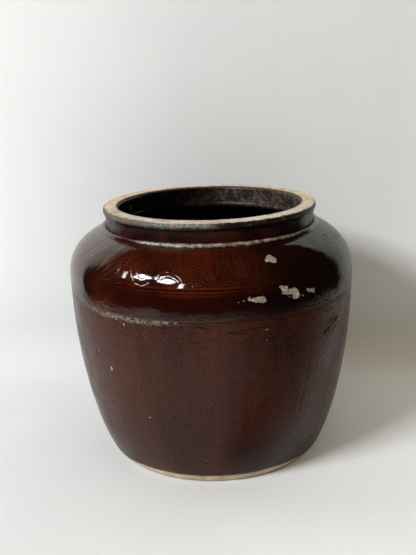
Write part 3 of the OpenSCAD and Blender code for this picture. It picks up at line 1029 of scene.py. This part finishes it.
def shoulder_material():
    """Glossy ash glaze: amber where it is thin, nearly black where it pools and towards the right, where the
    darkening is partly painted shade on the side away from the light.
    """
    g = Surface("glaze_shoulder")
    z, angle, strands = g.z, g.angle(), g.strands(0.10)
    cloud = g.noise(30, 4, 0.6, g.stretched(0.7))
    brushed = g.noise(420, 3, 0.6, strands)
    fine = g.noise(620, 3, 0.6)
    drift = g.plus(angle, g.stray(g.noise(22), 46))
    # glaze drained from raised edges and gathered in the drawn lines
    stroke, own = g.math("ABSOLUTE", g.attribute("stroke")), g.attribute("own")
    banks = g.window(stroke, 0.35, 0.75, 0.85, 1.5)
    uneven = g.band(g.noise(55, 3, 0.6), 0.36, 0.62, 0.35, 1.0)
    ridges = g.times(g.band(own, 0.010, 0.036), g.band(z, 177.5 * MM, 179.0 * MM), uneven, 0.36)
    furrows = g.times(g.band(own, -0.012, -0.055, 0, 0.90), uneven)
    # the zone under the ring lines is darker, and so is the right side: partly darker glaze, partly painted
    # shade on the side away from the light
    left = g.window(angle, -165, -120, -42, -8)
    low = g.band(g.plus(z, g.stray(cloud, 6 * MM)), 183.5 * MM, 177.5 * MM)
    low = g.times(low, g.band(left, 0, 1, 0.80, 0.15))
    right = g.times(g.window(drift, 4, 34, 105, 150), 0.90)
    # a darker stretch of the drawn band at the left
    deeper = g.times(g.window(angle, -72, -54, -32, -16), g.band(z, 199 * MM, 190 * MM))
    deeper = g.times(deeper, g.band(cloud, 0.60, 0.40, 0.20, 0.75))
    # brushed marks that slant up to the right, strongest at the left under the neck
    slanted = g.fed(g.node("VectorRotate", rotation_type="Z_AXIS"), Vector=strands, Angle=g.times(z, -8.0))
    swept = g.noise(620, 3, 0.65, slanted)
    swept_part = g.times(g.window(angle, -170, -130, -50, -30), g.band(z, 186 * MM, 198 * MM))
    pale_marks = g.times(g.band(swept, 0.52, 0.66), swept_part, 0.8)
    dark_marks = g.times(g.band(swept, 0.48, 0.36), swept_part, 0.8)
    scuff = g.times(g.window(drift, 50, 70, 120, 150), g.band(g.noise(540, 4, 0.75), 0.46, 0.66), 0.60)
    near_seam = g.times(g.band(g.plus(z, g.stray(fine, 12 * MM)), 167.2 * MM, 157.0 * MM), 0.8)
    depth = g.weighted((cloud, 0.5), (brushed, 0.3), (fine, 0.2))
    color = g.painted(
        g.mix(g.band(depth, 0.40, 0.60), GLAZE_BROWN, GLAZE_AMBER),
        (g.times(banks, 0.34), GLAZE_THIN),
        (g.band(stroke, 0.66, 0.24, 0, 0.92), GLAZE_BLACK),
        (ridges, RING_AMBER),
        (furrows, RING_DARK),
        (low, GLAZE_POOLED),
        (right, GLAZE_RIGHT_DARK_AND_SHADE),
        (deeper, GLAZE_DEEP),
        (pale_marks, BRUSHED_PALE),
        (dark_marks, GLAZE_BLACK),
        (g.band(g.spots(620), 0.10, 0.03, 0, 0.25), GRIT_BROWN),
        (scuff, SCUFF_GREY),
        (near_seam, g.mix(g.band(fine, 0.42, 0.62), BODY_DARK, BODY_BROWN)),
    )
    # towards the seam and the right side the gloss dulls and the surface turns grainy
    skirt = g.band(g.plus(z, g.stray(cloud, 12 * MM)), 172.5 * MM, 163.0 * MM)
    skirt = g.times(skirt, g.band(g.window(angle, -165, -120, -28, -2), 0, 1, 1.0, 0.42))
    grainy = g.math("MAXIMUM", skirt, g.window(drift, 44, 62, 120, 150))
    rubbed = g.window(drift, -165, -120, -66, -46)
    roughness = g.plus(
        g.band(g.noise(60, 4, 0.6), 0.30, 0.70, 0.03, 0.08),
        g.times(grainy, g.band(fine, 0.35, 0.65, 0.16, 0.34)),
        g.times(rubbed, g.band(swept, 0.35, 0.65, 0.06, 0.15)),
    )
    height = g.weighted(
        (g.band(stroke, 0.75, 0.10), -0.6),
        (g.noise(230, 3, 0.5), g.plus(g.times(grainy, 3.2), 0.08)),
        (g.times(g.noise(700, 3, 0.65), grainy), 3.6),
        (brushed, 0.25),
        (swept, g.plus(g.times(swept_part, 2.2), 0.15)),
    )
    color, roughness = with_chips(g, color, roughness)
    return g.finish(color, roughness, height, 0.22, 0.4 * MM, IOR=1.5, Specular_IOR_Level=0.50)


def body_material():
    """Satin glaze below the seam: an even maroon brown with fine speckle, faint runs and small pores."""
    g = Surface("glaze_lower")
    z, angle = g.z, g.angle()
    cloud = g.noise(16, 3, 0.5, g.stretched(0.6))
    runs = g.noise(90, 3, 0.55, g.strands(0.16))
    speckle = g.noise(1000, 3, 0.7)
    grit, pores = g.spots(540), g.spots(300, g.stretched(1.3))
    # thin dark marks that run round just under the seam
    rounds, upper = g.noise(60, 3, 0.6, g.stretched(9)), g.band(z, 120 * MM, 146 * MM)
    # darker towards the bottom on the right
    darker_low_right = g.times(g.window(angle, -8, 14, 90, 150), g.band(z, 75 * MM, 25 * MM), 0.75)
    # a scruffy pale deposit along the seam, left of the front
    near = g.band(z, SEAM_Z - 7.5 * MM, SEAM_Z - 1.0 * MM)
    crumbs = g.weighted((g.noise(260, 4, 0.75, g.stretched(1.5)), 0.7), (near, 0.22))
    deposit = g.times(g.band(crumbs, 0.47, 0.60), g.window(angle, -54, -44, -24, -12), near, 0.6)
    depth = g.weighted((cloud, 0.36), (runs, 0.26), (speckle, 0.38))
    color = g.painted(
        g.mix(g.band(depth, 0.38, 0.60), BODY_DARK, BODY_BROWN),
        (g.band(speckle, 0.50, 0.68, 0, 0.65), BODY_RUST),
        (g.times(g.band(rounds, 0.54, 0.66), upper, 0.6), BODY_DARK),
        (g.band(g.attribute("own"), -0.06, -0.30, 0, 0.8), GLAZE_DEEP),
        (darker_low_right, BODY_DARK),
        (g.band(grit, 0.11, 0.03, 0, 0.6), BODY_GRIT),
        (g.band(pores, 0.09, 0.03, 0, 0.7), GLAZE_BLACK),
        (deposit, SEAM_DEPOSIT),
    )
    satin = g.band(g.weighted((g.noise(34, 3, 0.6), 0.6), (speckle, 0.4)), 0.34, 0.66, 0.24, 0.42)
    roughness = g.math("SUBTRACT", satin, g.band(z, 135 * MM, 156 * MM, 0, 0.10))
    height = g.weighted(
        (g.noise(330, 3, 0.5), 0.5),
        (g.band(grit, 0.14, 0.02), 0.35),
        (g.band(pores, 0.10, 0.02), -0.5),
        (runs, 0.5),
        (g.times(rounds, upper), -1.0),
        (speckle, 0.6),
    )
    color, roughness = with_chips(g, color, roughness)
    return g.finish(color, roughness, height, 0.55, 0.5 * MM, IOR=1.5, Specular_IOR_Level=0.21)


def collar_material():
    """Glossy glaze on the collar, blackened towards the right, with a band of painted shade under the rim.
    """
    g = Surface("collar_glaze")
    angle = g.angle()
    cloud = g.noise(60, 4, 0.6, g.stretched(0.5))
    dark_side = g.band(g.plus(angle, g.stray(g.noise(60), 30)), 20, 60)
    dark_side = g.times(dark_side, g.band(angle, 165, 130), 0.85)
    # the dark band just under the rim is painted shade from the rim's overhang
    color = g.painted(
        g.mix(g.band(cloud, 0.35, 0.65), GLAZE_DEEP, COLLAR_BROWN),
        (g.band(g.attribute("up"), 8.0, 10.5, 0, 0.9), GLAZE_BLACK),
        (dark_side, COLLAR_BLACK),
    )
    roughness = g.band(g.noise(80), 0.3, 0.7, 0.22, 0.40)
    return g.finish(color, roughness, g.noise(240, 3, 0.5), 0.25, 0.4 * MM, IOR=1.5, Specular_IOR_Level=0.15)


def roll_material():
    """Glaze over the luting roll, worn to pale clay along parts of its crest."""
    g = Surface("worn_roll")
    angle = g.angle()
    off_crest = g.math("ABSOLUTE", g.plus(g.attribute("turn"), -38.0))
    ragged = g.plus(off_crest, g.stray(g.noise(170, 4, 0.7), 60))
    # widest wear a little left of the front, next to nothing at the far left and right
    front = g.band(g.window(angle, -56, -28, 40, 64), 0, 1, 60, 0)
    aside = g.band(g.math("ABSOLUTE", g.plus(angle, 6.0)), 8, 32, 0, 20)
    patchy = g.band(g.noise(44), 0.38, 0.62, 9, -9)
    worn = g.band(g.plus(ragged, front, aside, patchy), 66, 16)
    worn = g.times(worn, g.band(g.noise(230, 4, 0.75), 0.38, 0.60, 0.22, 1.0))
    glaze = g.mix(g.band(g.noise(60, 4, 0.6), 0.35, 0.65), GLAZE_DEEP, ROLL_BROWN)
    color = g.mix(g.times(worn, 0.92), glaze, clay_color(g, ROLL_CLAY))
    height = g.weighted((g.noise(420, 3, 0.6), 0.6), (worn, -0.25))
    return g.finish(color, g.band(worn, 0, 1, 0.16, 0.55), height, 0.35, 0.5 * MM, IOR=1.5)


def seam_material():
    """The seam's bead: glazed over, with pale worn stretches on the left front."""
    g = Surface("worn_seam")
    angle, crest = g.angle(), g.attribute("crest")
    ragged = g.noise(190, 4, 0.75, g.stretched(1.6))
    level = g.band(g.window(angle, -58, -44, -20, -6), 0, 1, 0.68, 0.46)
    worn = g.times(g.band(g.math("SUBTRACT", ragged, level), -0.02, 0.06), g.band(crest, 0.3, 0.8))
    thread = g.times(g.window(angle, -100, -84, -54, -42), g.band(crest, 0.86, 0.98))
    worn = g.math("MAXIMUM", worn, g.times(thread, g.band(ragged, 0.30, 0.50, 0.3, 0.9)))
    glaze = g.mix(g.band(g.noise(1000, 3, 0.7), 0.40, 0.62), BODY_DARK, BODY_BROWN)
    color = g.mix(g.times(worn, 0.65), glaze, clay_color(g, SEAM_CLAY))
    roughness = g.band(worn, 0, 1, 0.30, 0.75)
    return g.finish(color, roughness, g.noise(420, 3, 0.6), 0.35, 0.5 * MM, IOR=1.5, Specular_IOR_Level=0.20)


# ---------------- rim and inside

STAIN_DARK, STAIN_GREY = (0.060, 0.057, 0.048), (0.200, 0.190, 0.160)
STAIN_BLACK = (0.016, 0.0145, 0.012)
RIM_GLAZE_BLACK, RIM_GLAZE_BROWN = (0.0085, 0.0080, 0.0065), (0.018, 0.0075, 0.0048)
TOP_STAIN = (0.17, 0.13, 0.09)
OUTER_STAIN = (0.085, 0.075, 0.060)
MOUTH_GRIME = (0.030, 0.024, 0.019)
INSIDE_BLACK, INSIDE_BROWN = (0.0012, 0.0010, 0.0009), (0.0030, 0.0022, 0.0018)
CRUST_BASE = (0.030, 0.018, 0.014)
CRUST_BROWN, CRUST_GREY = (0.060, 0.038, 0.030), (0.130, 0.110, 0.092)
RUST = (0.20, 0.105, 0.045)
CRUST_ANGLE = math.radians(118)


def rim_material():
    """Bare worn clay on top; the side is stained grey and black, and glazed over on the right."""
    g = Surface("bare_rim")
    angle = g.angle()
    up, radius, side = g.attribute("up"), g.attribute("radius"), g.attribute("side")
    ragged, coarse = g.plus(g.noise(170, 4, 0.75), -0.5), g.plus(g.noise(48, 3, 0.6), -0.5)
    in_front, behind = clay_color(g, RIM_CLAY_FRONT), clay_color(g, RIM_CLAY_BEHIND)
    clay = g.mix(g.band(g.y, -50 * MM, 30 * MM), in_front, behind)
    # grey and black staining that thickens down the side
    stain_level = g.plus(g.band(up, 5.9, 4.6), g.times(ragged, 2.2), g.times(coarse, 1.2))
    stain = g.times(g.band(stain_level, 0.15, 0.85), side, 0.86)
    streaks = g.mix(g.band(g.noise(420, 3, 0.7, g.stretched(0.5)), 0.4, 0.6), STAIN_DARK, STAIN_GREY)
    black_level = g.plus(g.band(up, 3.6, 1.2), g.times(ragged, 2.6), g.times(coarse, 1.8))
    black = g.times(g.band(black_level, 0.45, 1.0), side, 0.92)
    # dark glaze from a little right of the front, right round the far side of the rim
    right = g.window(g.plus(angle, g.times(coarse, 34)), 0, 12, 112, 128)
    glaze_level = g.plus(g.band(up, 5.6, 4.4), g.times(ragged, 1.5))
    glazed = g.times(g.band(glaze_level, 0.25, 0.50), right, side)
    glaze = g.mix(g.band(g.noise(60, 4, 0.6), 0.4, 0.62), RIM_GLAZE_BLACK, RIM_GLAZE_BROWN)
    # stains on the flat top, along its outer edge at the left front, and grime towards the mouth
    outer = g.band(g.plus(radius, g.times(ragged, 6.0)), 94.4, 96.6)
    outer = g.times(outer, g.window(angle, -150, -110, -44, -14), 0.8)
    mouth = g.times(g.band(g.plus(radius, g.times(ragged, 4.5)), 86.4, 84.4), 0.9)
    color = g.painted(
        clay,
        (stain, streaks),
        (black, STAIN_BLACK),
        (glazed, glaze),
        (g.times(g.band(g.noise(120, 4, 0.7), 0.50, 0.68), 0.62), TOP_STAIN),
        (outer, OUTER_STAIN),
        (mouth, MOUTH_GRIME),
    )
    roughness = g.band(glazed, 0, 1, 0.80, 0.36)
    return g.finish(color, roughness, clay_grain(g), 0.45, 0.6 * MM, Specular_IOR_Level=0.19)


def inside_material():
    """Black glaze inside; the band inside the collar is clouded with grey and brown crust on the right."""
    g = Surface("inside_glaze")
    collar = g.band(g.attribute("up"), NECK_Z / MM - 0.5, NECK_Z / MM + 3.0)
    toward = g.weighted((g.x, math.sin(CRUST_ANGLE) / MOUTH_R), (g.y, -math.cos(CRUST_ANGLE) / MOUTH_R))
    far_side = g.band(g.plus(toward, g.noise(40), -0.5), 0.22, 0.72)
    speck = g.noise(420, 4, 0.75)
    crust = g.band(g.weighted((g.noise(90, 4, 0.65), 0.4), (speck, 0.6)), 0.44, 0.60)
    crust = g.times(crust, collar, g.band(far_side, 0, 1, 0.10, 1.0))
    color = g.painted(
        g.mix(g.band(g.noise(30, 4, 0.6), 0.35, 0.65), INSIDE_BLACK, INSIDE_BROWN),
        (g.times(collar, far_side, 0.85), CRUST_BASE),
        (g.times(crust, 0.75), g.mix(g.band(g.noise(200), 0.4, 0.6), CRUST_BROWN, CRUST_GREY)),
        (g.times(g.band(g.spots(46), 0.14, 0.05), collar, 0.5), RUST),
    )
    height = g.weighted((speck, 0.6), (g.noise(160), 0.4))
    roughness = g.band(crust, 0, 1, 0.20, 0.7)
    return g.finish(color, roughness, height, 0.4, 0.6 * MM, IOR=1.5, Specular_IOR_Level=0.3)


# ---------------- put the jar together


def dress(obj, material, slot, *nodes):
    obj.data.materials.clear()
    obj.data.materials.append(material)
    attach(obj, "root")
    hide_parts(*nodes)


def build_jar():
    wall_clay = clay_material("wall_clay", broken_clay)
    bare_clay = clay_material("bare_clay", clay_color, FOOT_CLAY)
    lower, shoulder, wall_low, wall_up = glaze_and_walls()
    dress(lower, body_material(), "brown_glaze", "lower_glaze")
    dress(shoulder, shoulder_material(), "dark_glaze", "shoulder_glaze")
    dress(wall_low, wall_clay, "wall_clay", "lower_wall")
    dress(wall_up, wall_clay, "wall_clay", "shoulder_wall")
    dress(seam_bead(), seam_material(), "luting_clay", "seam_roll")
    dress(slab(), bare_clay, "bare_clay", "base_slab")
    dress(collar_coat(), collar_material(), "dark_glaze", "collar_glaze")
    dress(luting_roll(), roll_material(), "luting_clay", "collar_roll")
    dress(rim(), rim_material(), "bare_clay", "rim")
    dress(inner_coat(), inside_material(), "inner_glaze", "inner_glaze")
    for name in ("collar", "base_coil"):
        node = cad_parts[name]
        node.data.materials.clear()
        node.data.materials.append(wall_clay)


# ---------------- floor, backdrop and room


def stage_piece(name, points, faces, material):
    mesh = bpy.data.meshes.new(name)
    mesh.from_pydata(points, [], faces)
    obj = new_object(name, mesh)
    obj.data.materials.append(material)
    return obj


def only_for_gloss(obj):
    """The object shows in reflections and nowhere else."""
    obj.visible_camera = False
    obj.visible_diffuse = False
    obj.visible_shadow = False
    obj.visible_transmission = False


# painted light on the paper at the left wall, the far edges and the floor at the right; painted shade on the
# upper wall behind
PAPER_WHITE, PAPER_SHADED_BEHIND = (0.795, 0.805, 0.805), (0.755, 0.765, 0.765)
PAPER_LIT_LEFT = (0.895, 0.905, 0.900)
PAPER_LIT_EDGES = (0.97, 0.97, 0.965)
PAPER_LIT_RIGHT = (0.94, 0.945, 0.94)


def paper_material():
    """Matt white paper with painted light and shade: brighter on the floor at the right, on the wall at the
    left and at both far edges, darker on the upper wall right of the middle.
    """
    g = Surface("paper")
    x, z = g.x, g.z
    up_wall = g.band(z, 0.03, 0.14)
    color = g.painted(
        g.mix(g.times(g.band(x, -0.12, 0.0), g.band(z, 0.15, 0.34)), PAPER_WHITE, PAPER_SHADED_BEHIND),
        (g.times(g.band(x, -0.05, -0.26), up_wall), PAPER_LIT_LEFT),
        (g.times(g.band(g.math("ABSOLUTE", x), 0.20, 0.34), up_wall), PAPER_LIT_EDGES),
        (g.times(g.band(x, -0.18, 0.12), g.band(z, 0.05, 0.0)), PAPER_LIT_RIGHT),
        (g.band(g.noise(6), 0.3, 0.7, 0.03, 0.0), (0, 0, 0)),
    )
    paper = g.fed(g.node("BsdfDiffuse"), Color=color)
    # seen from behind or below, the sheet lets the camera through
    behind = g.node("NewGeometry").outputs["Backfacing"]
    eye = g.node("LightPath").outputs["Is Camera Ray"]
    clear = g.node("BsdfTransparent").outputs[0]
    g.put(g.surface, g.fed(g.node("MixShader"), g.times(behind, eye), paper, clear))
    return g.material


def paper_sweep():
    """White paper: flat in front and under the jar, curving up behind it."""
    front, bend_y, bend_r, top, half_w, steps = -3.0, 0.105, 0.06, 2.4, 3.0, 12
    profile = [(front, 0), (-1.2, 0), (-0.4, 0), (0, 0), (bend_y, 0)]
    for k in range(1, steps + 1):
        a = math.radians(90 * k / steps)
        profile.append((bend_y + bend_r * math.sin(a), bend_r * (1 - math.cos(a))))
    profile.append((bend_y + bend_r, top))
    points = [(x, y, z) for y, z in profile for x in (-half_w, half_w)]
    quads = [(2 * i, 2 * i + 1, 2 * i + 3, 2 * i + 2) for i in range(len(profile) - 1)]
    obj = stage_piece("paper_sweep", points, quads, paper_material())
    for face in obj.data.polygons:
        face.use_smooth = True


FLOOR_GAP = 1 * MM
ROOM_DARK, ROOM_DIM = (0.006, 0.0055, 0.005), (0.016, 0.014, 0.012)


def level(z, *corners):
    return [(x, y, z) for x, y in corners]


def upright(a, b, low, high):
    return [(*a, low), (*b, low), (*b, high), (*a, high)]


def dark_room():
    """What the glaze mirrors past the paper: a dim room round it and above, and dark floor strips; the two
    at the right front are painted shade on the floor.
    """
    left, right, front, back, top = -0.64, 0.51, -0.60, 0.155, 1.05
    inner_left, inner_right = (-0.50, back), (0.44, back)
    left_end, right_end = (left, -0.10), (right, 0.12)
    left_front, right_front = (left, front), (right, front)
    left_back, right_back = (left, back), (right, back)
    paper_top, paper_front = 0.48, -0.47
    faces = [
        upright(left_end, left_front, FLOOR_GAP, top),
        upright(left_front, right_front, FLOOR_GAP, top),
        upright(right_front, right_end, FLOOR_GAP, top),
        level(top, left_front, right_front, right_back, left_back),
        upright(left_back, right_back, paper_top, top),
        upright(left_end, inner_left, FLOOR_GAP, top),
        upright(right_end, inner_right, FLOOR_GAP, top),
        # painted shade on the floor at the right front, seen only in the glaze
        level(FLOOR_GAP, (0.005, -0.12), (0.25, front), right_front, (0.10, -0.125)),
        level(FLOOR_GAP, (0.10, -0.125), right_front, (right, -0.025), (0.30, -0.075)),
        level(FLOOR_GAP, left_front, (0.25, front), (0.20, paper_front), (left, paper_front)),
        level(FLOOR_GAP, (left, paper_front), (-0.46, paper_front), (-0.52, left_end[1]), left_end),
    ]
    points = [p for face in faces for p in face]
    quads = [tuple(range(4 * k, 4 * k + 4)) for k in range(len(faces))]
    g = Surface("dim_room")
    tone = g.mix(g.band(g.noise(3, 2), 0.3, 0.7), ROOM_DARK, ROOM_DIM)
    only_for_gloss(stage_piece("dark_room", points, quads, g.shade("Emission", Color=tone)))


# The bright patches that the window makes on the shoulder, as corners in the photograph's pixels
PATCHES_PX = [
    [(129.3, 271.6), (127.8, 271.6), (123.3, 278.2), (123.6, 279.4), (125.5, 278.8)],
    [(130.9, 277.8), (137, 275.5), (142.8, 273.9), (148.5, 276.2), (153.9, 278.3), (153.9, 279.6),
     (148, 279.9), (142, 279.9), (135.6, 279.1)],
    [(155, 277.3), (157.2, 277), (157.8, 279.2), (155.6, 280)],
    [(159.6, 277.8), (164.8, 277), (165.2, 278.4), (160.4, 279.3)],
    [(155, 281.7), (158, 280.6), (163, 280.2), (167.8, 279.2), (174, 280.1), (179.8, 281.6),
     (176, 283.2), (170.6, 284.6), (164, 283.7), (158, 282.8)],
    [(178, 286.2), (182.6, 283.2), (184.6, 283), (184.2, 285), (180, 287.4), (178.1, 287.2)],
]
PANE_REACH = 0.52
PANE_SHARE = 0.84
DAYLIGHT, DAYLIGHT_STRENGTH = (0.97, 0.99, 1.0), 34.0


def mirrored(px, py):
    """Where the sight line through a pixel of the photograph ends after the shoulder has mirrored it."""
    hit, sight = sight_on_wall(px, py)
    out, up_share = WALL.normal(WALL.s_of_z(hit[2]))
    normal = np.array([*hit[:2] / np.hypot(*hit[:2]) * out, up_share])
    return hit + (sight - 2 * (sight @ normal) * normal) * PANE_REACH


def window_panes():
    """Bright glass that only the glaze mirrors."""
    points, faces = [], []
    for patch in PATCHES_PX:
        corners = np.array([mirrored(px, py) for px, py in patch])
        middle = corners.mean(0)
        first, n = len(points), len(corners)
        points += [middle.tolist()] + (middle + (corners - middle) * PANE_SHARE).tolist()
        faces += [(first, first + 1 + k, first + 1 + (k + 1) % n) for k in range(n)]
    material = Surface("daylight").shade("Emission", Color=DAYLIGHT, Strength=DAYLIGHT_STRENGTH)
    only_for_gloss(stage_piece("window_panes", points, faces, material))


# ---------------- light and camera

CENTRE = Vector((0, 0, 0.13))
KEY_COLOR, FILL_COLOR = (0.915, 0.955, 0.985), (1.0, 0.88, 0.70)
WORLD_WARM, WARM_STRENGTH = (1.0, 0.82, 0.54), 0.185
WORLD_GREY = (0.80, 0.80, 0.80)


def lamp(name, azimuth, elevation, distance, width, height, watts, color):
    """A soft light aimed at the jar, placed by degrees to the right of the front and degrees up."""
    a, e = math.radians(azimuth), math.radians(elevation)
    away = Vector((math.sin(a) * math.cos(e), -math.cos(a) * math.cos(e), math.sin(e)))
    light = bpy.data.lights.new(name, "AREA")
    light.shape = "RECTANGLE"
    light.size, light.size_y = width, height
    light.energy = watts
    light.color = color
    obj = new_object(name, light)
    obj.location = CENTRE + away * distance
    obj.rotation_mode = "QUATERNION"
    obj.rotation_quaternion = (CENTRE - obj.location).to_track_quat("-Z", "Y")
    obj.visible_camera = False
    obj.visible_glossy = False


def lights():
    """The window's light, a weak warm fill, and a warm world that shows as plain grey where it is seen."""
    lamp("window_key", -52, 32, 3.4, 1.05, 0.6, 109, KEY_COLOR)
    lamp("ceiling_fill", 45, 62, 2.2, 1.5, 1.5, 4.0, FILL_COLOR)
    world = bpy.data.worlds.new("studio")
    bpy.context.scene.world = world
    g = Graph(world, "OutputWorld")
    rays = g.node("LightPath").outputs
    seen = g.math("MAXIMUM", rays["Is Camera Ray"], rays["Is Glossy Ray"])
    seen = g.math("MAXIMUM", seen, rays["Is Transmission Ray"])
    warm = g.fed(g.node("Background"), Color=WORLD_WARM, Strength=WARM_STRENGTH)
    grey = g.fed(g.node("Background"), Color=WORLD_GREY, Strength=1.0)
    g.put(g.surface, g.fed(g.node("MixShader"), seen, warm, grey))


def camera():
    place, right, up, ahead = viewpoint()
    data = bpy.data.cameras.new("camera")
    data.sensor_width = 36
    data.lens = FOCAL_PX / max(PHOTO_PX) * data.sensor_width
    data.clip_start, data.clip_end = 0.01, 50
    obj = new_object("camera", data)
    turned = Matrix((right, up, -ahead)).transposed().to_4x4()
    obj.matrix_world = Matrix.Translation(place) @ turned
    bpy.context.scene.camera = obj


build_jar()
paper_sweep()
dark_room()
window_panes()
lights()
camera()
bpy.context.scene.view_settings.view_transform = "Standard"

bpy.context.view_layer.update()
